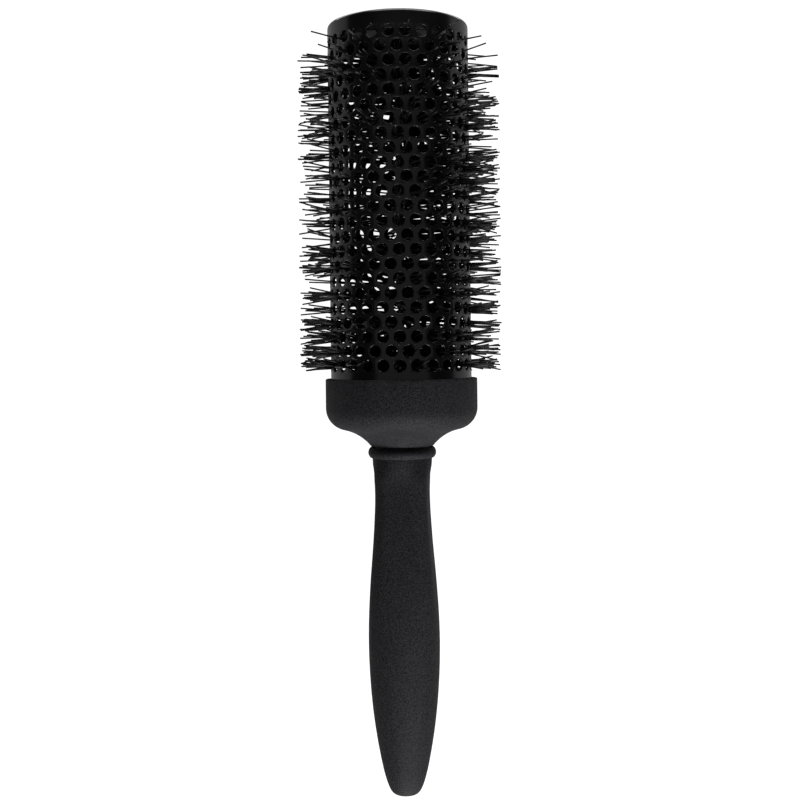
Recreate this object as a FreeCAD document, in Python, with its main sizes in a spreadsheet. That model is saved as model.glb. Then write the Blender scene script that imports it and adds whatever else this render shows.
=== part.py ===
"""Round barrel brush: a perforated barrel with bristles through it, a collar cup and a soft-touch handle.

Each piece is drawn with the brush's axis on its own Z, measured from the tip of the handle, and is then laid
on its side: the axis runs along Y, the barrel's end points to +Y, and the lowest bristle tips touch Z = 0.
"""
import FreeCAD, Part
import math
import os
import re
import PartDesign
import Sketcher

V = FreeCAD.Vector
Turn = FreeCAD.Rotation

# name, value in millimetres (counts and degrees have none), what it sets
SIZES = [
    ("handle_length", 110.9, "tip of the handle to the top of its bead"),
    ("collar_height", 22.0, "top of the bead to the rim of the collar cup"),
    ("seat_depth", 11.0, "how far the barrel goes down into the collar cup"),
    ("barrel_length", 123.7, "barrel tube from its lower edge to its rolled end"),
    ("barrel_diameter", 45.0, "outside of the barrel tube"),
    ("barrel_wall", 0.8, "wall of the barrel tube"),
    ("lip_radius", 1.2, "outer radius of the rolled end"),
    ("lip_land", 0.8, "how far the rolled end goes on inwards after its bend"),
    ("row_count", 24, "rows of holes along the barrel"),
    ("holes_per_row", 27, "holes round the barrel in one row"),
    ("hole_diameter", 3.7, "holes in the barrel"),
    ("first_row_gap", 4.3, "rim of the collar cup to the centres of the lowest row"),
    ("last_row_gap", 6.75, "centres of the top row to the end of the barrel"),
    ("bristle_reach", 32.5, "brush axis to the bristle tips"),
    ("tuft_root", 0.5, "radius of a tuft at the core"),
    ("tuft_tip", 0.3, "radius of a tuft at its tip"),
    ("hub_height", 1.6, "length of core that one row of bristles is twisted into"),
    ("hub_wall", 0.6, "thickness of the bristles folded round the core"),
    ("wire_diameter", 1.5, "each of the two core wires"),
    ("wire_pitch", 12.0, "length of core in which the wires turn round each other once"),
    ("wire_gap", 0.05, "play round the twisted wires, and half the play between them"),
    ("wire_socket", 3.0, "how far the wires go into the end cap"),
    ("cap_depth", 6.0, "skirt of the end cap below the end of the barrel"),
    ("cap_face", 2.4, "thickness of the end cap"),
    ("cap_boss", 4.5, "radius of the boss that holds the wires' upper ends"),
    ("boss_gap", 0.3, "play between that boss and the top row's ring round the core"),
    ("cap_groove_radius", 13.0, "radius of the ring moulded into the cap's face"),
    ("cap_groove_width", 1.2, "width of that ring"),
    ("cap_groove_depth", 0.4, "depth of that ring"),
    ("plug_wall", 1.6, "skirt and floor of the plug in the lower end of the barrel"),
    ("plug_boss", 4.0, "radius of the plug's boss round the wires"),
    ("stem_diameter", 10.0, "stem of the plug, which goes into the handle"),
    ("stem_depth", 20.0, "length of stem inside the handle"),
    ("fit_gap", 0.1, "play between pieces that are pushed together"),
    ("collar_wall", 1.7, "wall of the collar cup round the barrel"),
    ("collar_straight", 9.4, "rim of the collar cup to the start of its shoulder"),
    ("rim_round", 0.5, "rounding of the collar cup's rim"),
    ("shoulder_radius", 7.0, "convex shoulder of the collar cup"),
    ("flare_radius", 15.5, "concave flare under the shoulder"),
    ("neck_radius", 10.05, "bottom of the flare, just above the bead"),
    ("neck_gap", 0.4, "open line between the collar cup and the bead"),
    ("recess_top", 19.5, "radius of the hollow under the plug, at the barrel's lower edge"),
    ("recess_foot", 8.5, "radius of that hollow at its bottom"),
    ("recess_depth", 5.8, "depth of that hollow"),
    ("grip_width", 22.8, "widest part of the handle"),
    ("grip_flatness", 0.94, "thickness of the grip as a share of its width"),
    ("grip_turn", 10.0, "degrees that the flats of the grip are turned about the axis"),
    ("cover_wall", 1.0, "soft cover over the handle's core"),
    ("cover_gap", 0.02, "play between the soft cover and the core"),
    ("core_wall", 1.3, "wall of the hollow handle core"),
    ("core_floor", 7.0, "tip of the handle to the bottom of the hollow"),
    ("socket_floor", 3.0, "solid wall under the socket for the stem"),
    ("bead_width", 21.8, "widest part of the bead"),
    ("bead_height", 3.4, "bead along the axis"),
    ("bead_edge", 20.2, "width of the bead's top and bottom edges"),
]

# The grip's outline, from the tip to just above the bead, which hides its end: place as a share of the
# handle's length, width as a share of the widest part, and how far the section is flattened into facets.
GRIP_STATIONS = [
    (0.000, 0.220, 0.0),
    (0.008, 0.415, 0.0),
    (0.030, 0.515, 0.0),
    (0.100, 0.688, 0.0),
    (0.215, 0.870, 0.05),
    (0.411, 1.000, 0.2),
    (0.600, 0.922, 0.7),
    (0.790, 0.757, 1.0),
    (0.875, 0.734, 1.0),
    (0.935, 0.795, 0.6),
    (0.967, 0.838, 0.0),
    (1.010, 0.850, 0.0),
]
GRIP_SECTIONS = 25
SECTION_POINTS = 48
FACETS = 8
FACET_SHARPNESS = 26.0
FACET_CUT = 0.16

# Lengths that follow from the sizes above, as formulas of the sheet.
BARREL_R = "(barrel_diameter / 2)"
BORE_R = "(barrel_diameter / 2 - barrel_wall)"
COLLAR_R = "(barrel_diameter / 2 + fit_gap + collar_wall)"
RIM_Z = "(handle_length + collar_height)"
SEAT_Z = "(handle_length + collar_height - seat_depth)"
END_Z = "(handle_length + collar_height - seat_depth + barrel_length)"
NECK_Z = "(handle_length + neck_gap)"
STEM_R = "(stem_diameter / 2)"
WIRE_BORE_R = "(wire_diameter + 2 * wire_gap)"
STEM_FOOT_Z = "(handle_length - stem_depth)"
BOSS_FOOT_Z = "(%s - last_row_gap + hub_height / 2 + boss_gap)" % END_Z

doc = FreeCAD.newDocument("round_barrel_brush")
sheet = doc.addObject("Spreadsheet::Sheet", "sizes")
for line, (name, value, note) in enumerate(SIZES, start=1):
    sheet.set("A%d" % line, name)
    sheet.set("B%d" % line, str(value))
    sheet.set("C%d" % line, note)
    sheet.setAlias("B%d" % line, name)
doc.recompute()

NAMES = re.compile(r"\b(" + "|".join(name for name, _, _ in SIZES) + r")\b")


def bound(formula):
    """A formula of size names, as the sheet's own cells are written in an expression."""
    return NAMES.sub(r"sizes.\1", formula)


def number(formula):
    """The value of a formula of size names."""
    return float(sheet.evalExpression(bound(formula)))


def origin_part(body, role):
    """One of a body's own planes or axes, such as XZ_Plane or Z_Axis."""
    return next(part for part in body.Origin.OriginFeatures if part.Role == role)


def new_body(name):
    body = doc.addObject("PartDesign::Body", name)
    body.Label = name
    return body


def new_sketch(body, role, name):
    sketch = body.newObject("Sketcher::SketchObject", name)
    sketch.AttachmentSupport = [(origin_part(body, role), "")]
    sketch.MapMode = "FlatFace"
    return sketch


def arc_between(first, last, radius, side):
    """The short arc from one corner to the next, with its centre to the left (1) or right (-1)."""
    along = last - first
    half = along.Length / 2
    across = V(-along.y, along.x, 0) / along.Length
    centre = (first + last) / 2 + across * side * math.sqrt(max(radius**2 - half**2, 0))
    start, end = (first, last) if side > 0 else (last, first)
    turn = [math.atan2(corner.y - centre.y, corner.x - centre.x) for corner in (start, end)]
    if turn[1] < turn[0]:
        turn[1] += 2 * math.pi
    return Part.ArcOfCircle(Part.Circle(centre, V(0, 0, 1), radius), turn[0], turn[1])


def pin_corner(sketch, edge, end, across, up):
    """Ties one corner to formulas for its distance from the axis and its height."""
    for kind, formula, axis in (("DistanceX", across, -2), ("DistanceY", up, -1)):
        value = number(formula)
        if abs(value) < 1e-9:
            sketch.addConstraint(Sketcher.Constraint("PointOnObject", edge, end, axis))
        else:
            place = sketch.addConstraint(Sketcher.Constraint(kind, -1, 1, edge, end, value))
            sketch.setExpression("Constraints[%d]" % place, bound(formula))


def draw_outline(sketch, corners, smooth):
    """Draws a closed outline. Each corner is (across, up) in formulas, and the edge that leaves it is a line,
    or an arc where a radius formula and the side of its centre follow. The edges meet without a kink at the
    corners that smooth lists. One of those given as a plain vector is only a start: the arcs place it."""
    points = [c[0] if isinstance(c[0], V) else V(number(c[0]), number(c[1]), 0) for c in corners]
    count = len(corners)
    ends = []
    for edge, corner in enumerate(corners):
        here, after = points[edge], points[(edge + 1) % count]
        curve = corner[-2:] if isinstance(corner[-1], int) else None
        if curve:
            sketch.addGeometry(arc_between(here, after, number(curve[0]), curve[1]))
            place = sketch.addConstraint(Sketcher.Constraint("Radius", edge, number(curve[0])))
            sketch.setExpression("Constraints[%d]" % place, bound(curve[0]))
        else:
            sketch.addGeometry(Part.LineSegment(here, after))
        ends.append((1, 2) if not curve or curve[1] > 0 else (2, 1))
    for edge, corner in enumerate(corners):
        last = (edge - 1) % count
        meeting = "Tangent" if edge in smooth else "Coincident"
        sketch.addConstraint(Sketcher.Constraint(meeting, last, ends[last][1], edge, ends[edge][0]))
        if not isinstance(corner[0], V):
            pin_corner(sketch, edge, ends[edge][0], corner[0], corner[1])


def draw_hexagon(sketch, radius):
    """A regular hexagon about the sketch's origin, with a corner on its horizontal axis."""
    reach = number(radius)
    corners = [V(reach * math.cos(side * math.pi / 3), reach * math.sin(side * math.pi / 3), 0)
               for side in range(6)]
    for side in range(6):
        sketch.addGeometry(Part.LineSegment(corners[side], corners[(side + 1) % 6]))
    rim = sketch.addGeometry(Part.Circle(V(0, 0, 0), V(0, 0, 1), reach), True)
    sketch.addConstraint(Sketcher.Constraint("Coincident", rim, 3, -1, 1))
    place = sketch.addConstraint(Sketcher.Constraint("Radius", rim, reach))
    sketch.setExpression("Constraints[%d]" % place, bound(radius))
    sketch.addConstraint(Sketcher.Constraint("PointOnObject", 0, 1, -1))
    for side in range(6):
        sketch.addConstraint(Sketcher.Constraint("Coincident", side, 2, (side + 1) % 6, 1))
        sketch.addConstraint(Sketcher.Constraint("PointOnObject", side, 1, rim))
        if side:
            sketch.addConstraint(Sketcher.Constraint("Equal", 0, side))


def turned_body(name, corners, smooth=()):
    """A body turned about the brush's axis from one outline."""
    body = new_body(name)
    sketch = new_sketch(body, "XZ_Plane", name + "_outline")
    draw_outline(sketch, corners, smooth)
    turned = body.newObject("PartDesign::Revolution", name + "_turned")
    turned.Profile = sketch
    turned.ReferenceAxis = (sketch, ["V_Axis"])
    turned.Angle = 360
    sketch.Visibility = False
    return body


def barrel_tube():
    """Tube with a rolled end, drilled with staggered rows of round holes."""
    land_r = "barrel_diameter / 2 - lip_radius - lip_land"
    bend_r = "barrel_diameter / 2 - lip_radius"
    blank = turned_body("barrel_blank", [
        (BORE_R, SEAT_Z),
        (BARREL_R, SEAT_Z),
        (BARREL_R, END_Z + " - lip_radius", "lip_radius", 1),
        (bend_r, END_Z),
        (land_r, END_Z),
        (land_r, END_Z + " - barrel_wall"),
        (bend_r, END_Z + " - barrel_wall", "lip_radius - barrel_wall", -1),
        (BORE_R, END_Z + " - lip_radius"),
    ])
    punches = doc.addObject("Part::Feature", "hole_punches")
    punches.Shape = hole_punches()
    tube = doc.addObject("Part::Cut", "barrel_tube")
    tube.Base = blank
    tube.Tool = punches
    return tube


def row_height(row):
    """Height of one row of holes above the tip of the handle."""
    lowest = number(RIM_Z + " + first_row_gap")
    highest = number(END_Z + " - last_row_gap")
    return lowest + row * (highest - lowest) / (number("row_count") - 1)


def row_turn(row):
    """Rows lean half a hole pitch to one side and the other, so that two rows share the brush's weight."""
    quarter_pitch = 360 / number("holes_per_row") / 4
    return quarter_pitch if row % 2 else -quarter_pitch


def hole_punches():
    """One short rod for each hole, through the wall and pointing at the axis."""
    wall = number("barrel_wall")
    radius = number(BARREL_R)
    count = int(number("holes_per_row"))
    rods = []
    for row in range(int(number("row_count"))):
        for hole in range(count):
            turn = math.radians(row_turn(row) + hole * 360 / count)
            outwards = V(math.sin(turn), -math.cos(turn), 0)
            foot = outwards * (radius - 3 * wall) + V(0, 0, row_height(row))
            rods.append(Part.makeCylinder(number("hole_diameter / 2"), 5 * wall, foot, outwards))
    return Part.makeCompound(rods)


def bristle_row(row):
    """The tufts that come out of one row of holes, and the ring of them that the core wires grip."""
    name = "bristle_row_%02d" % (row + 1)
    body = new_body(name)
    hub = new_sketch(body, "XY_Plane", name + "_hub")
    for formula in (WIRE_BORE_R, WIRE_BORE_R + " + hub_wall"):
        edge = hub.addGeometry(Part.Circle(V(0, 0, 0), V(0, 0, 1), number(formula)))
        hub.addConstraint(Sketcher.Constraint("Coincident", edge, 3, -1, 1))
        place = hub.addConstraint(Sketcher.Constraint("Radius", edge, number(formula)))
        hub.setExpression("Constraints[%d]" % place, bound(formula))
    ring = body.newObject("PartDesign::Pad", name + "_ring")
    ring.Profile = hub
    ring.Midplane = True
    ring.setExpression("Length", bound("hub_height"))
    hub.Visibility = False
    section = new_sketch(body, "XZ_Plane", name + "_section")
    section.AttachmentOffset = FreeCAD.Placement(V(0, 0, number(WIRE_BORE_R + " + hub_wall / 2")), Turn())
    draw_hexagon(section, "tuft_root")
    reach = "(bristle_reach - %s - hub_wall / 2)" % WIRE_BORE_R
    tuft = body.newObject("PartDesign::Pad", name + "_tuft")
    tuft.Profile = section
    tuft.setExpression("Length", bound(reach))
    tuft.setExpression("TaperAngle", bound("-atan((tuft_root - tuft_tip) / 2 * sqrt(3) / %s)" % reach))
    section.Visibility = False
    doc.recompute()
    round_tufts = body.newObject("PartDesign::PolarPattern", name + "_tufts")
    round_tufts.Originals = [tuft]
    round_tufts.Axis = (origin_part(body, "Z_Axis"), [""])
    round_tufts.Angle = 360
    round_tufts.setExpression("Occurrences", bound("holes_per_row"))
    body.Tip = round_tufts
    return body


def core_wire(name, start_turn):
    """One of the two wires that are twisted together and grip the bristles between them."""
    foot = number(STEM_FOOT_Z + " + 1")
    top = number(BOSS_FOOT_Z + " + wire_socket")
    offset = number("wire_diameter / 2 + wire_gap / 2")
    helix = Part.makeHelix(number("wire_pitch"), top - foot, offset)
    start = V(offset, 0, 0)
    rise = number("wire_pitch") / (2 * math.pi)
    section = Part.Wire(Part.Circle(start, V(0, offset, rise), number("wire_diameter / 2")).toShape())
    for line in (helix, section):
        line.Placement = FreeCAD.Placement(V(0, 0, foot), Turn(V(0, 0, 1), start_turn))
    wire = doc.addObject("Part::Feature", name)
    wire.Shape = Part.Wire(helix.Edges).makePipeShell([section], True, True)
    return wire


def end_cap():
    """Moulded cap in the end of the barrel: its face stands in the rolled lip, its boss holds the wires."""
    face_r = "(barrel_diameter / 2 - lip_radius - lip_land - fit_gap)"
    skirt_r = "(%s - fit_gap)" % BORE_R
    under_lip = END_Z + " - barrel_wall - fit_gap"
    groove_in = "(cap_groove_radius - cap_groove_width / 2)"
    groove_out = "(cap_groove_radius + cap_groove_width / 2)"
    return turned_body("end_cap", [
        ("0", BOSS_FOOT_Z + " + wire_socket + fit_gap"),
        (WIRE_BORE_R, BOSS_FOOT_Z + " + wire_socket + fit_gap"),
        (WIRE_BORE_R, BOSS_FOOT_Z),
        ("cap_boss", BOSS_FOOT_Z),
        ("cap_boss", END_Z + " - cap_face"),
        (skirt_r + " - plug_wall", END_Z + " - cap_face"),
        (skirt_r + " - plug_wall", END_Z + " - cap_depth"),
        (skirt_r, END_Z + " - cap_depth"),
        (skirt_r, END_Z + " - lip_radius - fit_gap"),
        ("barrel_diameter / 2 - lip_radius", under_lip),
        (face_r, under_lip),
        (face_r, END_Z),
        (groove_out, END_Z),
        (groove_out, END_Z + " - cap_groove_depth"),
        (groove_in, END_Z + " - cap_groove_depth"),
        (groove_in, END_Z),
        ("0", END_Z),
    ])


def base_plug():
    """Moulded plug in the lower end of the barrel. Its stem goes through the collar cup into the handle."""
    skirt_r = "(%s - fit_gap)" % BORE_R
    return turned_body("base_plug", [
        (WIRE_BORE_R, STEM_FOOT_Z),
        (STEM_R, STEM_FOOT_Z),
        (STEM_R, SEAT_Z),
        (skirt_r, SEAT_Z),
        (skirt_r, RIM_Z + " - fit_gap"),
        (skirt_r + " - plug_wall", RIM_Z + " - fit_gap"),
        (skirt_r + " - plug_wall", SEAT_Z + " + plug_wall"),
        ("plug_boss", SEAT_Z + " + plug_wall"),
        ("plug_boss", RIM_Z + " - fit_gap"),
        (WIRE_BORE_R, RIM_Z + " - fit_gap"),
    ])


def flare_touch():
    """The point where the collar cup's shoulder passes smoothly into its flare."""
    shoulder = number("shoulder_radius")
    flare = number("flare_radius")
    centre = V(number(COLLAR_R + " - shoulder_radius"), number(RIM_Z + " - collar_straight"), 0)
    foot = V(number("neck_radius"), number(NECK_Z), 0)
    reach = (foot - centre).Length
    along = ((shoulder + flare) ** 2 - flare**2 + reach**2) / (2 * reach)
    aside = math.sqrt((shoulder + flare) ** 2 - along**2)
    to_foot = (foot - centre) / reach
    flare_centre = centre + to_foot * along + V(-to_foot.y, to_foot.x, 0) * aside
    return centre + (flare_centre - centre) * shoulder / (shoulder + flare)


def collar_cup():
    """Soft-touch cup that holds the lower end of the barrel and flares down to the handle."""
    bore_r = "(barrel_diameter / 2 + fit_gap)"
    return turned_body("collar_cup", [
        (bore_r, RIM_Z),
        (COLLAR_R + " - rim_round", RIM_Z, "rim_round", -1),
        (COLLAR_R, RIM_Z + " - rim_round"),
        (COLLAR_R, RIM_Z + " - collar_straight", "shoulder_radius", -1),
        (flare_touch(), "flare_radius", 1),
        ("neck_radius", NECK_Z),
        (STEM_R + " + fit_gap", NECK_Z),
        (STEM_R + " + fit_gap", SEAT_Z + " - recess_depth"),
        ("recess_foot", SEAT_Z + " - recess_depth"),
        ("recess_top", SEAT_Z),
        (bore_r, SEAT_Z),
    ], smooth=(3, 4))


def grip_outline():
    """A smooth curve of (height, width, facet strength) through the grip's stations."""
    corners = [
        V(place * number("handle_length"), share * number("grip_width"), facets * number("grip_width"))
        for place, share, facets in GRIP_STATIONS
    ]
    curve = Part.BSplineCurve()
    curve.interpolate(corners)
    return curve


def outline_at(curve, height):
    """Width and facet strength of the grip at one height, found by halving, as the heights only rise."""
    low, high = curve.FirstParameter, curve.LastParameter
    for _ in range(50):
        middle = (low + high) / 2
        if curve.value(middle).x < height:
            low = middle
        else:
            high = middle
    place = curve.value(high)
    return place.y, min(max(place.z / number("grip_width"), 0), 1)


def facet_radius(turn, half_width, half_depth):
    """Distance from the axis to a soft-cornered octagon in one direction."""
    corner = (half_width + half_depth) / math.sqrt(2) * (1 - FACET_CUT)
    total = 0
    for facet in range(FACETS):
        facing = math.cos(turn - facet * 2 * math.pi / FACETS)
        flat = corner if facet % 2 else (half_depth, half_width)[facet // 2 % 2]
        total += max(facing / flat, 0) ** FACET_SHARPNESS
    return total ** (-1 / FACET_SHARPNESS)


def grip_section(height, width, facets, inset):
    """The closed outline of the grip at one height, moved inwards by the inset."""
    half_width = width / 2
    roundness = abs(2 * height / number("handle_length") - 1) ** 4
    half_depth = half_width * (number("grip_flatness") * (1 - roundness) + roundness)
    corners = []
    for step in range(SECTION_POINTS):
        turn = 2 * math.pi * step / SECTION_POINTS
        oval = 1 / math.hypot(math.cos(turn) / half_depth, math.sin(turn) / half_width)
        radius = oval + facets * (facet_radius(turn, half_width, half_depth) - oval) - inset
        whole = turn - math.radians(number("grip_turn"))
        corners.append(V(radius * math.sin(whole), -radius * math.cos(whole), height))
    ring = Part.BSplineCurve()
    ring.interpolate(Points=corners, PeriodicFlag=True)
    return Part.Wire(ring.toShape())


def grip_solid(inset, foot, head):
    """The grip's body between two heights, moved inwards all round. Its sections crowd at both ends."""
    curve = grip_outline()
    wires = []
    for step in range(GRIP_SECTIONS):
        height = foot + (head - foot) * (1 - math.cos(math.pi * step / (GRIP_SECTIONS - 1))) / 2
        width, facets = outline_at(curve, height)
        wires.append(grip_section(height, width, facets, inset))
    return Part.makeLoft(wires, True, False)


def handle_core():
    """Rigid hollow core of the handle, with the socket that the plug's stem is pushed into."""
    wall = number("cover_wall")
    outside = grip_solid(wall, wall, number(NECK_Z))
    hollow = grip_solid(wall + number("core_wall"), number("core_floor"),
                        number(STEM_FOOT_Z + " - fit_gap - socket_floor"))
    socket_foot = number(STEM_FOOT_Z + " - fit_gap")
    socket = Part.makeCylinder(number(STEM_R + " + fit_gap"), number(NECK_Z) - socket_foot + 1,
                               V(0, 0, socket_foot))
    core = doc.addObject("Part::Feature", "handle_core")
    core.Shape = outside.cut([hollow, socket])
    return core


def bead_ring():
    """The rounded bead at the top of the grip, as a ring down to the core."""
    inner = number("bead_edge / 2") - 2 * number("cover_wall")
    edge, widest = number("bead_edge / 2"), number("bead_width / 2")
    top = number("handle_length")
    foot = top - number("bead_height")
    lower, upper = V(edge, 0, foot), V(edge, 0, top)
    rim = Part.Wire([
        Part.LineSegment(V(inner, 0, foot), lower).toShape(),
        Part.Arc(lower, V(widest, 0, (foot + top) / 2), upper).toShape(),
        Part.LineSegment(upper, V(inner, 0, top)).toShape(),
        Part.LineSegment(V(inner, 0, top), V(inner, 0, foot)).toShape(),
    ])
    return Part.Face(rim).revolve(V(0, 0, 0), V(0, 0, 1), 360)


def grip_cover():
    """Soft-touch cover moulded over the core, from the closed tip to the bead under the collar cup."""
    under = number("cover_wall - cover_gap")
    skin = grip_solid(0, 0, number("handle_length - bead_height / 2")).fuse(bead_ring())
    cover = doc.addObject("Part::Feature", "grip_cover")
    cover.Shape = skin.cut(grip_solid(under, under, number(NECK_Z)))
    return cover


def faulty(piece):
    """Whether an object of the document failed, or has no sound shape where it should have one."""
    if {"Invalid", "Error"} & set(piece.State):
        return True
    return piece in pieces and (piece.Shape.isNull() or not piece.Shape.isValid() or not piece.Shape.Solids)


def lay_down(piece, row=None):
    """Turns a piece from its upright drawing to the lying brush, and a row to its place along the axis."""
    sharpest = math.radians(360 / number("holes_per_row") / 4)
    axis_height = number("bristle_reach") * math.cos(sharpest) + number("tuft_tip") * math.sin(sharpest)
    laid = FreeCAD.Placement(V(0, -number(END_Z) / 2, axis_height), Turn(V(1, 0, 0), -90))
    if row is not None:
        laid = laid * FreeCAD.Placement(V(0, 0, row_height(row)), Turn(V(0, 0, 1), row_turn(row)))
    piece.Placement = laid


pieces = [
    barrel_tube(),
    end_cap(),
    base_plug(),
    collar_cup(),
    core_wire("core_wire_a", 0),
    core_wire("core_wire_b", 180),
    handle_core(),
    grip_cover(),
]
for piece in pieces:
    piece.Label = piece.Name
    lay_down(piece)
for row in range(int(number("row_count"))):
    pieces.append(bristle_row(row))
    lay_down(pieces[-1], row)
doc.recompute()

faults = [thing.Name for thing in doc.Objects if faulty(thing)]
if faults:
    raise RuntimeError("these did not build: " + ", ".join(faults))
os.makedirs("parts", exist_ok=True)
for piece in pieces:
    piece.Shape.exportStep("parts/%s.step" % piece.Label)
    print("%-16s %8.0f mm3" % (piece.Label, piece.Shape.Volume))
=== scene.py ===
# %% [markdown]
# # A round barrel brush
#
# A blow-dry brush is a metal tube full of holes, with a bottle brush of nylon bristles inside it whose
# bristles come out through the holes. A soft-touch cup holds the tube and flares down to a slim handle.
# The CAD model holds every size, so this lesson loads it first and measures the real pieces from it.

# %% Load the CAD frame
import bpy
import math
import random
from mathutils import Matrix, Vector
from mathutils.bvhtree import BVHTree


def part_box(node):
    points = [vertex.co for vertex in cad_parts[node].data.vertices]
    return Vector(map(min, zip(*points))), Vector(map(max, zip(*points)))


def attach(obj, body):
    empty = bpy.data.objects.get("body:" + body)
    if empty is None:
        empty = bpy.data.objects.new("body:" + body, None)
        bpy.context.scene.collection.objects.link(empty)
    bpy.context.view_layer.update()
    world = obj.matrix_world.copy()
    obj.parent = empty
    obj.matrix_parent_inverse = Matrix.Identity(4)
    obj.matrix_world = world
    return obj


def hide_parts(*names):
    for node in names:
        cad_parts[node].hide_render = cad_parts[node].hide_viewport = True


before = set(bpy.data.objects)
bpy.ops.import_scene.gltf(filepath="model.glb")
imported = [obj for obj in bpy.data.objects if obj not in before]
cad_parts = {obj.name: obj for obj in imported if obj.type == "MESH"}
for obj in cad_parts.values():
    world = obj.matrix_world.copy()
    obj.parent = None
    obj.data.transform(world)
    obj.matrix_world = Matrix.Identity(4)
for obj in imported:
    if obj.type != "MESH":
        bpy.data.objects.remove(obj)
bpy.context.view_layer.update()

MM = 0.001

# %% [markdown]
# ## The sizes that everything follows
#
# The brush lies on its side along Y, with the end of its barrel towards +Y. All the round pieces share one
# axis, so the barrel's own box gives that axis, its radius and its two ends. Each row of bristles is a CAD
# node of its own, and the middles of their boxes give the place of every row of holes.

# %% Measure the barrel and its rows
tube_low, tube_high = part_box("barrel_tube")
AXIS_Z = (tube_low.z + tube_high.z) / 2
BARREL_R = (tube_high.x - tube_low.x) / 2
BARREL_FOOT, BARREL_END = tube_low.y, tube_high.y
RIM_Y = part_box("collar_cup")[1].y
ROWS = sorted(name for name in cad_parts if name.startswith("bristle_row_"))
ROW_Y = [sum(corner.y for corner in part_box(row)) / 2 for row in ROWS]
ROW_PITCH = (ROW_Y[-1] - ROW_Y[0]) / (len(ROWS) - 1)
HOLES = 27
HOLE_R = 1.85 * MM
HOLE_TURN = 2 * math.pi / HOLES
REACH = AXIS_Z / math.cos(HOLE_TURN / 4)
print("axis height %.2f, barrel radius %.2f, row pitch %.3f, reach %.2f mm"
      % (AXIS_Z / MM, BARREL_R / MM, ROW_PITCH / MM, REACH / MM))


def row_turn(row):
    """Rows lean a quarter of the hole spacing to one side and the other, so the holes are staggered."""
    return HOLE_TURN / 4 if row % 2 else -HOLE_TURN / 4


def round_axis(radius, turn, along):
    """A point at a radius and a turn about the axis: turn 0 is straight up, and it grows towards +X."""
    return Vector((radius * math.sin(turn), along, AXIS_Z + radius * math.cos(turn)))


# %% [markdown]
# ## The camera
#
# The brush is seen from straight above, with its barrel at the top of the view, by a medium lens from a
# little under 40 cm. So close, the barrel's rim shows as a clear arc and the front holes slide against the
# back ones. A small turn of the camera about the brush's axis sets which of them line up. The camera stands
# over the barrel and looks straight down, and a small shift of the lens brings the whole handle into view.

# %% Place the camera
EYE_DISTANCE = 385 * MM
EYE_ALONG = 20.7 * MM
EYE_TURN = math.radians(-2.6)
EYE_ROLL = 0.0115
AIM_ASIDE = -0.33 * MM
FOCAL_LENGTH = 54
SENSOR_WIDTH = 36
LENS_SHIFT = -0.0688

lens = bpy.data.cameras.new("camera")
lens.lens = FOCAL_LENGTH
lens.sensor_width = SENSOR_WIDTH
lens.shift_y = LENS_SHIFT
camera = bpy.data.objects.new("camera", lens)
bpy.context.scene.collection.objects.link(camera)
camera.location = round_axis(EYE_DISTANCE, EYE_TURN, EYE_ALONG)
target = Vector((AIM_ASIDE, EYE_ALONG, AXIS_Z))
look = (target - camera.location).normalized()
upright = Vector((math.sin(EYE_ROLL), math.cos(EYE_ROLL), 0))
across = look.cross(upright).normalized()
camera.matrix_world = Matrix.LocRotScale(
    camera.location, Matrix((across, across.cross(look), -look)).transposed().to_quaternion(), None)
bpy.context.scene.camera = camera
print("camera at", [round(v / MM, 1) for v in camera.location])

# %% [markdown]
# ## Floor and light
#
# Black goods show their form only by what they mirror. The camera sees the floor as pure white paper, but the
# brush sees it dimmer, so the glossy barrel mirrors it as a soft grey edge along both its sides. A round bar
# hardly mirrors a light that stands beyond its ends, so the two strong panels stand there: they light the
# matt handle and leave the front of the barrel deep black. A weak panel above lifts the whole brush a
# little, and a small card past the end of the barrel gives its rolled lip a bright line.

# %% Build the floor and the lights
FLOOR_SIZE = 60
FLOOR_GLOW_ON_BRUSH, FLOOR_GLOW_SEEN = 0.2, 0.97
SKY_GLOW_ON_BRUSH, SKY_GLOW_SEEN = 0.03, 1


def new_material(name):
    """A material with nothing but a Principled shader and its output, and the tree to add to."""
    material = bpy.data.materials.new(name)
    material.use_nodes = True
    tree = material.node_tree
    tree.nodes.clear()
    shader = tree.nodes.new("ShaderNodeBsdfPrincipled")
    output = tree.nodes.new("ShaderNodeOutputMaterial")
    tree.links.new(shader.outputs["BSDF"], output.inputs["Surface"])
    return material, tree, shader


def glow_by_sight(tree, on_brush, seen, strength):
    """Sets a strength to one value where the camera looks, and to another for the light on the brush."""
    sight = tree.nodes.new("ShaderNodeLightPath")
    glow = tree.nodes.new("ShaderNodeMapRange")
    glow.inputs["To Min"].default_value = on_brush
    glow.inputs["To Max"].default_value = seen
    tree.links.new(sight.outputs["Is Camera Ray"], glow.inputs["Value"])
    tree.links.new(glow.outputs["Result"], strength)


bpy.ops.object.select_all(action="DESELECT")
bpy.ops.mesh.primitive_plane_add(size=FLOOR_SIZE, location=(0, 0, 0))
floor = bpy.context.object
floor.name = "floor"
paper, paper_tree, paper_shader = new_material("white_sweep")
paper_shader.inputs["Base Color"].default_value = (0.3, 0.3, 0.3, 1)
paper_shader.inputs["Roughness"].default_value = 0.9
paper_shader.inputs["Emission Color"].default_value = (1, 1, 1, 1)
glow_by_sight(paper_tree, FLOOR_GLOW_ON_BRUSH, FLOOR_GLOW_SEEN, paper_shader.inputs["Emission Strength"])
floor.data.materials.append(paper)

world = bpy.data.worlds.new("studio")
world.use_nodes = True
sky = world.node_tree.nodes["Background"]
sky.inputs["Color"].default_value = (1, 1, 1, 1)
glow_by_sight(world.node_tree, SKY_GLOW_ON_BRUSH, SKY_GLOW_SEEN, sky.inputs["Strength"])
bpy.context.scene.world = world
bpy.context.scene.view_settings.view_transform = "Standard"


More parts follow.
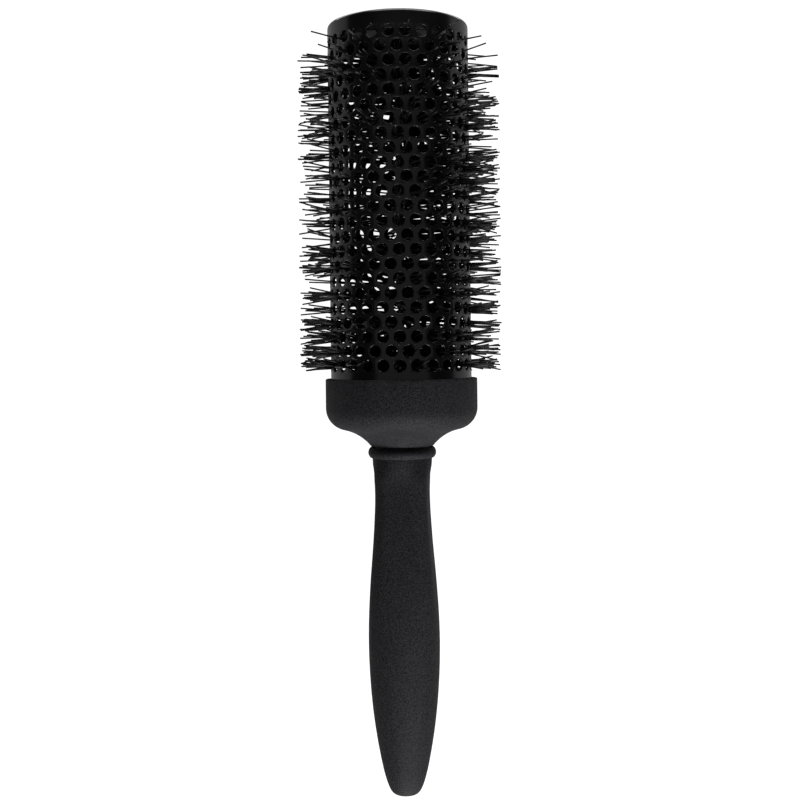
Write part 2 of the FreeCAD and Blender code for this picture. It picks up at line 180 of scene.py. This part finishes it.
def soft_panel(name, place, aim, width, height, power):
    """A rectangular soft light that faces a point."""
    light = bpy.data.lights.new(name, "AREA")
    light.shape = "RECTANGLE"
    light.size, light.size_y = width, height
    light.energy = power
    panel = bpy.data.objects.new(name, light)
    bpy.context.scene.collection.objects.link(panel)
    panel.location = place
    panel.rotation_euler = (Vector(aim) - Vector(place)).to_track_quat("-Z", "Y").to_euler()
    return panel


soft_panel("panel_handle_end", (0.15, -1.05, 0.47), (0, 0, 0.03), 0.9, 0.5, 16.5)
soft_panel("panel_barrel_end", (0.1, 1.0, 0.32), (0, 0, 0.03), 1.2, 0.5, 9)
soft_panel("panel_above", (0, -0.1, 1.0), (0, -0.1, 0), 1.8, 0.85, 0.9)
card = soft_panel("card_beyond_barrel", (0, 0.2, 0.003), (0, 0.2, 1), 0.16, 0.09, 0.14)
card.visible_camera = False

# %% [markdown]
# ## Finishes
#
# Two effects come back on several pieces, so each is a small node group: the grain of a moulded or sprayed
# surface, and the soft patches in which it is a little lighter and rougher.

# %% Node groups
def new_group(name, inputs, outputs):
    """A shader node group with named inputs (name, default) and outputs (name, kind)."""
    group = bpy.data.node_groups.new(name, "ShaderNodeTree")
    for label, value in inputs:
        socket = group.interface.new_socket(label, in_out="INPUT", socket_type="NodeSocketFloat")
        socket.default_value = value
    for label, kind in outputs:
        group.interface.new_socket(label, in_out="OUTPUT", socket_type=kind)
    return group, group.nodes.new("NodeGroupInput"), group.nodes.new("NodeGroupOutput")


grain, grain_in, grain_out = new_group(
    "fine_grain",
    [("Scale", 900.0), ("Depth", 0.2), ("Distance", 0.0001)],
    [("Height", "NodeSocketFloat"), ("Normal", "NodeSocketVector")])
place = grain.nodes.new("ShaderNodeTexCoord")
speckle = grain.nodes.new("ShaderNodeTexNoise")
speckle.inputs["Detail"].default_value = 4
bump = grain.nodes.new("ShaderNodeBump")
grain.links.new(place.outputs["Object"], speckle.inputs["Vector"])
grain.links.new(grain_in.outputs["Scale"], speckle.inputs["Scale"])
grain.links.new(grain_in.outputs["Depth"], bump.inputs["Strength"])
grain.links.new(grain_in.outputs["Distance"], bump.inputs["Distance"])
grain.links.new(speckle.outputs["Fac"], bump.inputs["Height"])
grain.links.new(speckle.outputs["Fac"], grain_out.inputs["Height"])
grain.links.new(bump.outputs["Normal"], grain_out.inputs["Normal"])

patches, patches_in, patches_out = new_group(
    "soft_patches",
    [("Scale", 40.0), ("Low", 0.4), ("High", 0.6)],
    [("Mask", "NodeSocketFloat")])
place = patches.nodes.new("ShaderNodeTexCoord")
cloud = patches.nodes.new("ShaderNodeTexNoise")
cloud.inputs["Detail"].default_value = 5
cloud.inputs["Roughness"].default_value = 0.6
spread = patches.nodes.new("ShaderNodeMapRange")
spread.clamp = True
patches.links.new(place.outputs["Object"], cloud.inputs["Vector"])
patches.links.new(patches_in.outputs["Scale"], cloud.inputs["Scale"])
patches.links.new(cloud.outputs["Fac"], spread.inputs["Value"])
patches.links.new(patches_in.outputs["Low"], spread.inputs["From Min"])
patches.links.new(patches_in.outputs["High"], spread.inputs["From Max"])
patches.links.new(spread.outputs["Result"], patches_out.inputs["Mask"])


def add_group(tree, group, **values):
    """Places a node group in a material with its own values."""
    node = tree.nodes.new("ShaderNodeGroup")
    node.node_tree = group
    for label, value in values.items():
        node.inputs[label].default_value = value
    return node


def between(tree, mask, low, high):
    """Turns a 0 to 1 mask into a value that goes from low to high."""
    stretch = tree.nodes.new("ShaderNodeMapRange")
    stretch.inputs["To Min"].default_value = low
    stretch.inputs["To Max"].default_value = high
    tree.links.new(mask, stretch.inputs["Value"])
    return stretch.outputs["Result"]


def colours(tree, mask, low, high):
    """Turns a 0 to 1 mask into a colour between two colours."""
    ramp = tree.nodes.new("ShaderNodeValToRGB")
    ramp.color_ramp.elements[0].color = (*low, 1)
    ramp.color_ramp.elements[1].color = (*high, 1)
    tree.links.new(mask, ramp.inputs["Fac"])
    return ramp.outputs["Color"]


# %% [markdown]
# Each finish is a material of its own. The barrel is aluminium under black stove enamel, which is glossy with
# the faint orange peel of sprayed paint. The cup and the grip have a rubbery soft-touch coat: nearly black,
# very rough, with a grain that only shows close up and a cool sheen where it turns away.

# %% Materials
def barrel_enamel():
    material, tree, shader = new_material("barrel_enamel")
    peel = add_group(tree, grain, Scale=420, Depth=0.12, Distance=0.00005)
    patch = add_group(tree, patches, Scale=55, Low=0.35, High=0.7)
    tree.links.new(colours(tree, patch.outputs["Mask"], (0.003, 0.003, 0.0033), (0.005, 0.0048, 0.005)),
                   shader.inputs["Base Color"])
    tree.links.new(between(tree, patch.outputs["Mask"], 0.17, 0.25), shader.inputs["Roughness"])
    tree.links.new(peel.outputs["Normal"], shader.inputs["Normal"])
    shader.inputs["IOR"].default_value = 1.5
    return material


def soft_touch():
    material, tree, shader = new_material("soft_touch_rubber")
    fine = add_group(tree, grain, Scale=2600, Depth=1.0, Distance=0.00016)
    patch = add_group(tree, patches, Scale=2400, Low=0.4, High=0.6)
    tree.links.new(colours(tree, patch.outputs["Mask"], (0.0006, 0.0006, 0.0008), (0.0285, 0.0275, 0.0325)),
                   shader.inputs["Base Color"])
    tree.links.new(between(tree, fine.outputs["Height"], 0.6, 0.78), shader.inputs["Roughness"])
    tree.links.new(fine.outputs["Normal"], shader.inputs["Normal"])
    shader.inputs["Specular IOR Level"].default_value = 0.25
    return material


def moulded_plastic(name, dark, light, low, high):
    material, tree, shader = new_material(name)
    fine = add_group(tree, grain, Scale=700, Depth=0.15, Distance=0.00006)
    patch = add_group(tree, patches, Scale=70, Low=0.3, High=0.7)
    tree.links.new(colours(tree, patch.outputs["Mask"], dark, light), shader.inputs["Base Color"])
    tree.links.new(between(tree, patch.outputs["Mask"], low, high), shader.inputs["Roughness"])
    tree.links.new(fine.outputs["Normal"], shader.inputs["Normal"])
    return material


def core_steel():
    material, tree, shader = new_material("core_steel")
    scratches = add_group(tree, grain, Scale=900, Depth=0.3, Distance=0.00005)
    patch = add_group(tree, patches, Scale=120, Low=0.3, High=0.7)
    tree.links.new(colours(tree, patch.outputs["Mask"], (0.10, 0.10, 0.105), (0.22, 0.22, 0.23)),
                   shader.inputs["Base Color"])
    tree.links.new(between(tree, scratches.outputs["Height"], 0.3, 0.5), shader.inputs["Roughness"])
    tree.links.new(scratches.outputs["Normal"], shader.inputs["Normal"])
    shader.inputs["Metallic"].default_value = 1
    return material


ENAMEL = barrel_enamel()
RUBBER = soft_touch()
CAP = moulded_plastic("cap_plastic", (0.010, 0.010, 0.010), (0.014, 0.014, 0.014), 0.22, 0.34)
HIDDEN = moulded_plastic("inner_plastic", (0.02, 0.02, 0.02), (0.03, 0.03, 0.03), 0.45, 0.6)
NYLON = moulded_plastic("bristle_nylon", (0.002, 0.002, 0.002), (0.004, 0.004, 0.004), 0.26, 0.38)
NYLON.node_tree.nodes["Principled BSDF"].inputs["Specular IOR Level"].default_value = 0.3
STEEL = core_steel()
FINISH_OF = {
    "barrel_tube": ENAMEL, "end_cap": CAP, "base_plug": HIDDEN, "collar_cup": RUBBER,
    "core_wire_a": STEEL, "core_wire_b": STEEL, "handle_core": HIDDEN, "grip_cover": RUBBER,
}
for name, material in FINISH_OF.items():
    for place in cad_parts[name].material_slots:
        place.material = material

# %% [markdown]
# ## The barrel
#
# The barrel starts as one flat cell of sheet metal with a hole in it, as wide as the hole spacing and as high
# as the row pitch. Two staggered cells are repeated into a whole sheet, which is then rolled round the axis.
# The plain bands, the rounded end and the wall come after, and a small bevel catches the light at every hole.

# %% Helpers for modelling
def fresh():
    """Leaves edit mode and deselects everything."""
    if bpy.context.object and bpy.context.object.mode != "OBJECT":
        bpy.ops.object.mode_set(mode="OBJECT")
    bpy.ops.object.select_all(action="DESELECT")


def choose(piece, test):
    """In edit mode, selects only the corners whose place passes a test."""
    bpy.ops.mesh.select_mode(type="VERT")
    bpy.ops.mesh.select_all(action="DESELECT")
    bpy.ops.object.mode_set(mode="OBJECT")
    for corner in piece.data.vertices:
        corner.select = test(corner.co)
    bpy.ops.object.mode_set(mode="EDIT")


def use_modifier(piece, kind, **settings):
    """Adds a modifier with its settings and applies it."""
    modifier = piece.modifiers.new(kind.lower(), kind)
    for label, value in settings.items():
        setattr(modifier, label, value)
    bpy.context.view_layer.objects.active = piece
    bpy.ops.object.modifier_apply(modifier=modifier.name)


def faces_outward(piece):
    """True if most of a round piece's area faces away from the axis."""
    total = 0
    for face in piece.data.polygons:
        away = face.center - Vector((0, face.center.y, AXIS_Z))
        total += face.area * face.normal.dot(away.normalized())
    return total > 0


def near(value, other):
    return abs(value - other) < 0.01 * MM


def finish_piece(piece, node, material):
    """Gives a finished piece its material and its place in the assembly."""
    piece.data.name = piece.name
    piece.data.materials.clear()
    piece.data.materials.append(material)
    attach(piece, "root")
    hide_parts(node)
    print(piece.name, "has", sum(len(face.vertices) - 2 for face in piece.data.polygons), "triangles")


# %% One cell of sheet metal with its hole
CELL = HOLE_TURN * BARREL_R
fresh()
bpy.ops.mesh.primitive_grid_add(x_subdivisions=4, y_subdivisions=4, size=1, location=(0, 0, 0))
barrel = bpy.context.object
barrel.name = "perforated_barrel"
bpy.ops.object.mode_set(mode="EDIT")
bpy.ops.mesh.select_all(action="SELECT")
bpy.ops.transform.resize(value=(CELL, ROW_PITCH, 1))
choose(barrel, lambda place: abs(place.x) < 0.45 * CELL and abs(place.y) < 0.45 * ROW_PITCH)
bpy.ops.mesh.delete(type="VERT")
bpy.ops.mesh.primitive_circle_add(vertices=16, radius=HOLE_R, location=(0, 0, 0))
bpy.ops.mesh.select_all(action="SELECT")
bpy.ops.mesh.bridge_edge_loops()
print("cell of %.2f x %.2f mm" % (CELL / MM, ROW_PITCH / MM))

# %% [markdown]
# The next row's cell sits half a cell aside. Their edges are cut in four, so the corners of both meet.

# %% Repeat the cell into a sheet
bpy.ops.mesh.select_all(action="SELECT")
bpy.ops.mesh.duplicate_move(TRANSFORM_OT_translate={"value": (CELL / 2, ROW_PITCH, 0)})
bpy.ops.object.mode_set(mode="OBJECT")
use_modifier(barrel, "ARRAY", count=HOLES, use_relative_offset=False, use_constant_offset=True,
             constant_offset_displace=(CELL, 0, 0))
use_modifier(barrel, "ARRAY", count=len(ROWS) // 2, use_relative_offset=False, use_constant_offset=True,
             constant_offset_displace=(0, 2 * ROW_PITCH, 0))

# %% Roll the sheet round the axis
for corner in barrel.data.vertices:
    turn = row_turn(0) + corner.co.x / BARREL_R
    corner.co = round_axis(BARREL_R, turn, ROW_Y[0] + corner.co.y)
bpy.ops.object.mode_set(mode="EDIT")
bpy.ops.mesh.select_all(action="SELECT")
bpy.ops.mesh.remove_doubles(threshold=0.02 * MM)
bpy.ops.mesh.normals_make_consistent(inside=False)
bpy.ops.object.mode_set(mode="OBJECT")
print("rolled sheet has", len(barrel.data.polygons), "faces")

# %% [markdown]
# The sheet's two end loops are pulled out to the foot and to the end. There it bends inwards in an arc of a
# little over a millimetre, which gives the bright line at the end of the barrel.

# %% Pull out the plain bands and the rounded end
LIP_R = 1.2 * MM
LIP_LAND = 0.8 * MM
WALL = 0.8 * MM
LIP_STEPS = 6
bpy.ops.object.mode_set(mode="EDIT")
choose(barrel, lambda place: near(place.y, ROW_Y[0] - ROW_PITCH / 2))
bpy.ops.mesh.extrude_region_move(
    TRANSFORM_OT_translate={"value": (0, BARREL_FOOT - ROW_Y[0] + ROW_PITCH / 2, 0)})
choose(barrel, lambda place: near(place.y, ROW_Y[-1] + ROW_PITCH / 2))
loop_y, loop_r = ROW_Y[-1] + ROW_PITCH / 2, BARREL_R
lip = [(BARREL_R, BARREL_END - LIP_R)]
for step in range(1, LIP_STEPS + 1):
    bend = math.pi / 2 * step / LIP_STEPS
    lip.append((BARREL_R - LIP_R * (1 - math.cos(bend)), BARREL_END - LIP_R * (1 - math.sin(bend))))
lip.append((BARREL_R - LIP_R - LIP_LAND, BARREL_END))
for radius, along in lip:
    bpy.ops.mesh.extrude_region_move(TRANSFORM_OT_translate={"value": (0, along - loop_y, 0)})
    share = radius / loop_r
    bpy.ops.transform.resize(value=(share, 1, share), center_override=(0, along, AXIS_Z))
    loop_y, loop_r = along, radius
bpy.ops.object.mode_set(mode="OBJECT")
if not faces_outward(barrel):
    barrel.data.flip_normals()

# %% Give the sheet its wall and bevel the holes
use_modifier(barrel, "SOLIDIFY", thickness=WALL, offset=-1, use_even_offset=True)
use_modifier(barrel, "BEVEL", width=0.16 * MM, segments=1, limit_method="ANGLE", angle_limit=math.radians(60))
fresh()
barrel.select_set(True)
bpy.context.view_layer.objects.active = barrel
bpy.ops.object.shade_smooth()
use_modifier(barrel, "WEIGHTED_NORMAL", weight=50)
finish_piece(barrel, "barrel_tube", ENAMEL)

# %% [markdown]
# ## Turned pieces
#
# The collar cup and the end cap are round about the axis. Each starts as the outline of one half of its
# section, drawn as a chain of corners, and is spun into a solid. A corner may have a rounding of its own.

# %% Helpers for turned pieces
def round_corners(corners, steps=5):
    """Turns corners (radius, along, rounding) into points, with a short arc for each rounded corner."""
    points = []
    for index, (radius, along, rounding) in enumerate(corners):
        here = Vector((radius, along))
        if not rounding:
            points.append(here)
            continue
        back = (Vector(corners[index - 1][:2]) - here).normalized()
        onward = (Vector(corners[(index + 1) % len(corners)][:2]) - here).normalized()
        half = back.angle(onward) / 2
        centre = here + (back + onward).normalized() * rounding / math.sin(half)
        start = here + back * rounding / math.tan(half) - centre
        end = here + onward * rounding / math.tan(half) - centre
        for step in range(steps + 1):
            share = step / steps
            points.append(centre + (start * (1 - share) + end * share).normalized() * rounding)
    return points


def arc(centre, radius, start, end, steps):
    """Points on an arc between two angles, which are measured from the radius direction towards +Y."""
    angles = [start + (end - start) * step / steps for step in range(steps + 1)]
    return [Vector((centre[0] + radius * math.cos(a), centre[1] + radius * math.sin(a))) for a in angles]


def turn_on_lathe(name, points, closed=True, steps=128):
    """Spins an outline of (radius, along) points round the axis into a piece."""
    fresh()
    bpy.ops.mesh.primitive_plane_add(size=1 * MM, location=(0, 0, 0))
    piece = bpy.context.object
    piece.name = name
    bpy.ops.object.mode_set(mode="EDIT")
    bpy.ops.mesh.select_all(action="SELECT")
    bpy.ops.mesh.merge(type="CENTER")
    place = Vector((0, 0, 0))
    for number, (radius, along) in enumerate(points):
        step = round_axis(radius, 0, along) - place
        if number:
            bpy.ops.mesh.extrude_vertices_move(TRANSFORM_OT_translate={"value": step})
        else:
            bpy.ops.transform.translate(value=step)
        place = round_axis(radius, 0, along)
    bpy.ops.mesh.select_all(action="SELECT")
    if closed:
        bpy.ops.mesh.edge_face_add()
        bpy.ops.mesh.delete(type="ONLY_FACE")
        bpy.ops.mesh.select_all(action="SELECT")
    bpy.ops.mesh.spin(steps=steps, angle=2 * math.pi, center=(0, 0, AXIS_Z), axis=(0, 1, 0))
    bpy.ops.mesh.select_all(action="SELECT")
    bpy.ops.mesh.remove_doubles(threshold=0.005 * MM)
    bpy.ops.mesh.normals_make_consistent(inside=False)
    bpy.ops.object.mode_set(mode="OBJECT")
    return piece


def smooth_shade(piece, degrees):
    fresh()
    piece.select_set(True)
    bpy.context.view_layer.objects.active = piece
    bpy.ops.object.shade_smooth_by_angle(angle=math.radians(degrees))


# %% [markdown]
# The cup's outside is an S-curve of two arcs that meet smoothly: the convex shoulder under its straight side,
# and the concave flare that runs down to the neck. The place where they meet comes from their two centres.

# %% Turn the collar cup
FIT_GAP = 0.1 * MM
STRAIGHT = 9.4 * MM
STEM_BORE_R = 5.1 * MM
HOLLOW_TOP_R, HOLLOW_FOOT_R = 19.5 * MM, 8.5 * MM
HOLLOW_FOOT = BARREL_FOOT - 5.8 * MM
cup_low, cup_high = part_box("collar_cup")
CUP_R = (cup_high.x - cup_low.x) / 2
CUP_BORE_R = BARREL_R + FIT_GAP
NECK_Y, NECK_R = cup_low.y, 10.05 * MM
SHOULDER_R, FLARE_R = 7 * MM, 15.5 * MM
shoulder = Vector((CUP_R - SHOULDER_R, RIM_Y - STRAIGHT))
neck = Vector((NECK_R, NECK_Y))
to_neck = neck - shoulder
gap = to_neck.length
to_neck.normalize()
level = ((SHOULDER_R + FLARE_R) ** 2 - FLARE_R**2 + gap**2) / (2 * gap)
aside = math.sqrt((SHOULDER_R + FLARE_R) ** 2 - level**2)
flare = shoulder + to_neck * level + Vector((-to_neck.y, to_neck.x)) * aside
meet = math.atan2(flare.y - shoulder.y, flare.x - shoulder.x)
flare_end = math.atan2(neck.y - flare.y, neck.x - flare.x) % (2 * math.pi)
cup_outline = (
    round_corners([(CUP_BORE_R, RIM_Y, 0.25 * MM), (CUP_R, RIM_Y, 0.5 * MM),
                   (CUP_R, shoulder.y, 0), (CUP_BORE_R, BARREL_FOOT, 0)])[:-2]
    + arc(shoulder, SHOULDER_R, 0, meet, 14)
    + arc(flare, FLARE_R, meet + math.pi, flare_end, 16)[1:]
    + [Vector((STEM_BORE_R, NECK_Y)), Vector((STEM_BORE_R, HOLLOW_FOOT)),
       Vector((HOLLOW_FOOT_R, HOLLOW_FOOT)), Vector((HOLLOW_TOP_R, BARREL_FOOT)),
       Vector((CUP_BORE_R, BARREL_FOOT))])
print("shoulder meets flare at %.0f degrees" % math.degrees(meet))
cup = turn_on_lathe("collar_cup_shell", cup_outline)
smooth_shade(cup, 35)
finish_piece(cup, "collar_cup", RUBBER)

# %% [markdown]
# The end cap's face carries a shallow dimple and one ring groove. Its skirt goes down inside the barrel's
# wall, and the boss in its middle has the blind hole that the wires end in.

# %% Turn the end cap
FACE_R = BARREL_R - LIP_R - LIP_LAND - FIT_GAP
SKIRT_R = BARREL_R - WALL - FIT_GAP
SKIRT_WALL = 1.6 * MM
SKIRT_FOOT = BARREL_END - 6 * MM
UNDER_LIP = BARREL_END - WALL - FIT_GAP
UNDER_FACE = BARREL_END - 2.4 * MM
DIMPLE_R, DIMPLE_FOOT = 1.6 * MM, BARREL_END - 0.5 * MM
GROOVE_IN, GROOVE_OUT, GROOVE_FOOT = 12.5 * MM, 13.5 * MM, BARREL_END - 0.4 * MM
BOSS_R, BOSS_FOOT = 4.5 * MM, BARREL_END - 5.65 * MM
WIRE_HOLE_R, SOCKET_TOP = 1.6 * MM, BARREL_END - 2.2 * MM
cap = turn_on_lathe("moulded_end_cap", round_corners([
    (0, DIMPLE_FOOT, 0),
    (DIMPLE_R, DIMPLE_FOOT, 0.2 * MM),
    (DIMPLE_R + 0.8 * MM, BARREL_END, 0.25 * MM),
    (GROOVE_IN - 0.1 * MM, BARREL_END, 0.12 * MM),
    (GROOVE_IN, GROOVE_FOOT, 0.12 * MM),
    (GROOVE_OUT, GROOVE_FOOT, 0.12 * MM),
    (GROOVE_OUT + 0.1 * MM, BARREL_END, 0.12 * MM),
    (FACE_R, BARREL_END, 0.2 * MM),
    (FACE_R, UNDER_LIP, 0),
    (SKIRT_R - 0.3 * MM, UNDER_LIP, 0),
    (SKIRT_R, UNDER_LIP - 0.5 * MM, 0),
    (SKIRT_R, SKIRT_FOOT, 0.2 * MM),
    (SKIRT_R - SKIRT_WALL, SKIRT_FOOT, 0.2 * MM),
    (SKIRT_R - SKIRT_WALL, UNDER_FACE, 0.3 * MM),
    (BOSS_R, UNDER_FACE, 0.3 * MM),
    (BOSS_R, BOSS_FOOT, 0.3 * MM),
    (WIRE_HOLE_R, BOSS_FOOT, 0),
    (WIRE_HOLE_R, SOCKET_TOP, 0),
    (0, SOCKET_TOP, 0),
], steps=3), closed=False)
smooth_shade(cap, 35)
finish_piece(cap, "end_cap", CAP)

# %% [markdown]
# ## The handle
#
# The grip is a stack of rings along the axis, closer together at the tip and round the bead. Every corner is
# then pushed onto the CAD handle's surface, so the soft facets come out as they were designed. A smooth skin
# over the same handle gets its wall last.

# %% Stack the grip's rings
grip_low, grip_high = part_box("grip_cover")
GRIP_CORNERS = 96
BEAD_H = 3.4 * MM
grip_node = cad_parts["grip_cover"]
grip_tree = BVHTree.FromPolygons(
    [grip_node.matrix_world @ corner.co for corner in grip_node.data.vertices],
    [tuple(face.vertices) for face in grip_node.data.polygons])


def grip_surface(turn, along):
    """A point on the outside of the CAD handle, found by looking inwards at it."""
    outer = round_axis(40 * MM, turn, along)
    hit = grip_tree.ray_cast(outer, round_axis(0, turn, along) - outer)[0]
    return hit or round_axis(0.5 * MM, turn, along)


GRIP_TIP, GRIP_TOP = grip_low.y, grip_high.y
BEAD_FOOT = GRIP_TOP - BEAD_H
TIP_H = 6 * MM
TIP_RINGS, BODY_RINGS, BEAD_RINGS = 12, 60, 12
body_h = BEAD_FOOT - 0.5 * MM - GRIP_TIP - TIP_H
ring_places = [
    GRIP_TIP + TIP_H * (1 - math.cos(math.pi / 2 * step / TIP_RINGS)) for step in range(1, TIP_RINGS)]
ring_places += [GRIP_TIP + TIP_H + body_h * step / BODY_RINGS for step in range(BODY_RINGS + 1)]
ring_places += [BEAD_FOOT - 0.2 * MM, BEAD_FOOT - 0.03 * MM]
ring_places += [
    BEAD_FOOT + BEAD_H * (1 - math.cos(math.pi * step / BEAD_RINGS)) / 2 for step in range(1, BEAD_RINGS)]
ring_places += [GRIP_TOP - 0.02 * MM]
fresh()
bpy.ops.mesh.primitive_circle_add(
    vertices=GRIP_CORNERS, radius=2 * MM, fill_type="TRIFAN", location=(0, grip_low.y, AXIS_Z),
    rotation=(math.pi / 2, 0, 0))
grip = bpy.context.object
grip.name = "grip_skin"
bpy.ops.object.transform_apply(location=True, rotation=True, scale=True)
bpy.ops.object.mode_set(mode="EDIT")
choose(grip, lambda place: (place - Vector((0, place.y, AXIS_Z))).length > 1 * MM)
last = grip_low.y
for along in ring_places[1:]:
    bpy.ops.mesh.extrude_region_move(TRANSFORM_OT_translate={"value": (0, along - last, 0)})
    last = along
bpy.ops.object.mode_set(mode="OBJECT")
print("grip has", len(ring_places), "rings")

# %% Push the rings onto the CAD handle and give the skin its wall
for corner in grip.data.vertices:
    aside, up = corner.co.x, corner.co.z - AXIS_Z
    if math.hypot(aside, up) > 1 * MM:
        corner.co = grip_surface(math.atan2(aside, up), max(corner.co.y, ring_places[0]))
if not faces_outward(grip):
    grip.data.flip_normals()
use_modifier(grip, "SOLIDIFY", thickness=0.9 * MM, offset=-1, use_even_offset=False)
smooth_shade(grip, 40)
finish_piece(grip, "grip_cover", RUBBER)

# %% [markdown]
# ## The bristles
#
# Each bristle is a nylon filament a little over half a millimetre thick, cut square at its tip. It is gripped
# by the twisted wires, leans to whatever hole is near, and goes on in nearly the same direction outside. A
# hole passes anything from no filament to six. One filament is modelled as a slim tapered rod, and every
# other one is a copy of it, bent along its own path, so that each row is one light mesh.

# %% Model one filament
FILAMENT_R = 0.3 * MM
FILAMENT_SIDES = 5
FILAMENT_STEPS = 5


def model_filament():
    """A tapered rod one unit long, as rings of corners: (share of the length, across, aside)."""
    fresh()
    bpy.ops.mesh.primitive_cone_add(
        vertices=FILAMENT_SIDES, radius1=1, radius2=0.85, depth=1, location=(0, 0, 0.5), end_fill_type="NGON")
    rod = bpy.context.object
    bpy.ops.object.mode_set(mode="EDIT")
    for step in range(1, FILAMENT_STEPS):
        bpy.ops.mesh.select_all(action="SELECT")
        bpy.ops.mesh.bisect(plane_co=(0, 0, step / FILAMENT_STEPS), plane_no=(0, 0, 1))
    bpy.ops.object.mode_set(mode="OBJECT")
    mesh = rod.data
    mesh.transform(rod.matrix_world)
    corners = [tuple(v.co) for v in mesh.vertices]
    faces = [tuple(p.vertices) for p in mesh.polygons]
    bpy.data.objects.remove(rod)
    return corners, faces


ROD_CORNERS, ROD_FACES = model_filament()
print("one filament has", len(ROD_CORNERS), "corners and", len(ROD_FACES), "faces")


# %% [markdown]
# A filament's path is a gentle curve through three places: where the wires grip it, a point in its hole, and
# its tip. The tips end unevenly, most of them near the full reach. The top rows have only a few filaments,
# and some rows wore thin on one side, where daylight shows through opposite holes.

# %% Grow the rows
GRIP_R = 1.7 * MM
FILAMENTS_IN_HOLE = [0] * 4 + [1] * 3 + [2] * 4 + [3] * 4 + [4] * 4 + [5] * 4 + [6] * 3
MOST_IN_HOLE = 6
SPARSE_ROWS = {len(ROWS) - 1: 0.16, len(ROWS) - 2: 0.5}
THIN_LEFT = (4, 6, 9, 10, 12, 13, 14, 15, 16, 18, 19)
THIN_RIGHT = (3, 8, 11, 16, 20)
TRAPPED_IN_ROW = 24
HOLE_PLAY = HOLE_R - 1.3 * FILAMENT_R


def is_thin(row, turn):
    """True on the side of a row that wore thin."""
    return row in THIN_LEFT and math.sin(turn) < -0.08 or row in THIN_RIGHT and math.sin(turn) > 0.08


def fullness(row, turn):
    """How full the holes are: fewest in the top rows and where a row wore thin, most along both sides."""
    if row in SPARSE_ROWS:
        return SPARSE_ROWS[row]
    at_side = abs(math.cos(turn)) < 0.5
    if is_thin(row, turn):
        return 0.6 if at_side else 0.05
    return 2.1 if at_side else 0.8


def filament_path(chance, row, hole):
    """Start, hole point and tip of one filament, all as points."""
    turn = row_turn(row) + hole * HOLE_TURN
    swing = chance.uniform(0, 2 * math.pi)
    off = HOLE_PLAY * math.sqrt(chance.random())
    in_hole = round_axis(
        BARREL_R, turn + off * math.cos(swing) / BARREL_R, ROW_Y[row] + off * math.sin(swing))
    start = round_axis(GRIP_R, turn + chance.gauss(0, 0.5), ROW_Y[row] + chance.gauss(0, 2.0) * MM)
    reach = REACH * (1 - 0.005 - 0.11 * chance.random() ** 2.2)
    if chance.random() < 0.06:
        reach = REACH * chance.uniform(0.76, 0.88)
    onward = (in_hole - start).normalized()
    tip = in_hole + onward * (reach - BARREL_R)
    tip += Vector([chance.gauss(0, 0.35) * MM for _ in range(3)])
    from_axis = Vector((tip.x, 0, tip.z - AXIS_Z))
    if from_axis.length > REACH * 0.995:
        from_axis = from_axis.normalized() * REACH * 0.995
    return start, in_hole, Vector((from_axis.x, tip.y, from_axis.z + AXIS_Z))


def bend_filament(chance, path):
    """The rod's corners moved along a smooth curve through the three points."""
    start, middle, tip = path
    near, far = (middle - start).length, (tip - middle).length
    share = near / (near + far)
    control = (middle - start * (1 - share) ** 2 - tip * share**2) / (2 * share * (1 - share))
    side = (tip - start).cross(Vector((0.3, 1, 0.2))).normalized()
    spin = chance.uniform(0, 2 * math.pi)
    corners = []
    for across, aside, place in ROD_CORNERS:
        point = start * (1 - place) ** 2 + control * 2 * place * (1 - place) + tip * place**2
        along = ((control - start) * (1 - place) + (tip - control) * place).normalized()
        u = (side - along * side.dot(along)).normalized()
        w = along.cross(u)
        reach_u = across * math.cos(spin) - aside * math.sin(spin)
        reach_w = across * math.sin(spin) + aside * math.cos(spin)
        corners.append(point + (u * reach_u + w * reach_w) * FILAMENT_R)
    return corners


def trapped_path(chance, row):
    """A short filament that found no hole: it curls up between the core and the wall."""
    turn = chance.uniform(0, 2 * math.pi)
    if is_thin(row, turn):
        turn = -turn
    reach = chance.uniform(3.5, 7) * MM
    start = round_axis(GRIP_R, turn, ROW_Y[row] + chance.gauss(0, 1.5) * MM)
    middle = round_axis(reach * 0.6, turn + chance.gauss(0, 0.2), ROW_Y[row] + chance.gauss(0, 1.8) * MM)
    tip = round_axis(reach, turn + chance.gauss(0, 0.5), ROW_Y[row] + chance.gauss(0, 2.5) * MM)
    return start, middle, tip


def grow_row(row):
    """One row of bristles as a single mesh that stands for the CAD's plain tufts."""
    chance = random.Random(100 + row)
    paths = [trapped_path(chance, row) for _ in range(TRAPPED_IN_ROW)]
    for hole in range(HOLES):
        turn = row_turn(row) + hole * HOLE_TURN
        wanted = chance.choice(FILAMENTS_IN_HOLE) * fullness(row, turn) + chance.uniform(-0.4, 0.4)
        for _ in range(min(round(wanted), MOST_IN_HOLE)):
            paths.append(filament_path(chance, row, hole))
    corners, faces = [], []
    for path in paths:
        base = len(corners)
        corners += bend_filament(chance, path)
        faces += [[base + corner for corner in face] for face in ROD_FACES]
    mesh = bpy.data.meshes.new("filaments_%02d" % (row + 1))
    mesh.from_pydata(corners, [], faces)
    mesh.polygons.foreach_set("use_smooth", [len(face) == 4 for face in faces])
    piece = bpy.data.objects.new(mesh.name, mesh)
    bpy.context.scene.collection.objects.link(piece)
    finish_piece(piece, ROWS[row], NYLON)
    return len(paths)


FILAMENT_COUNT = sum(grow_row(row) for row in range(len(ROWS)))
print(FILAMENT_COUNT, "filaments in", len(ROWS), "rows")
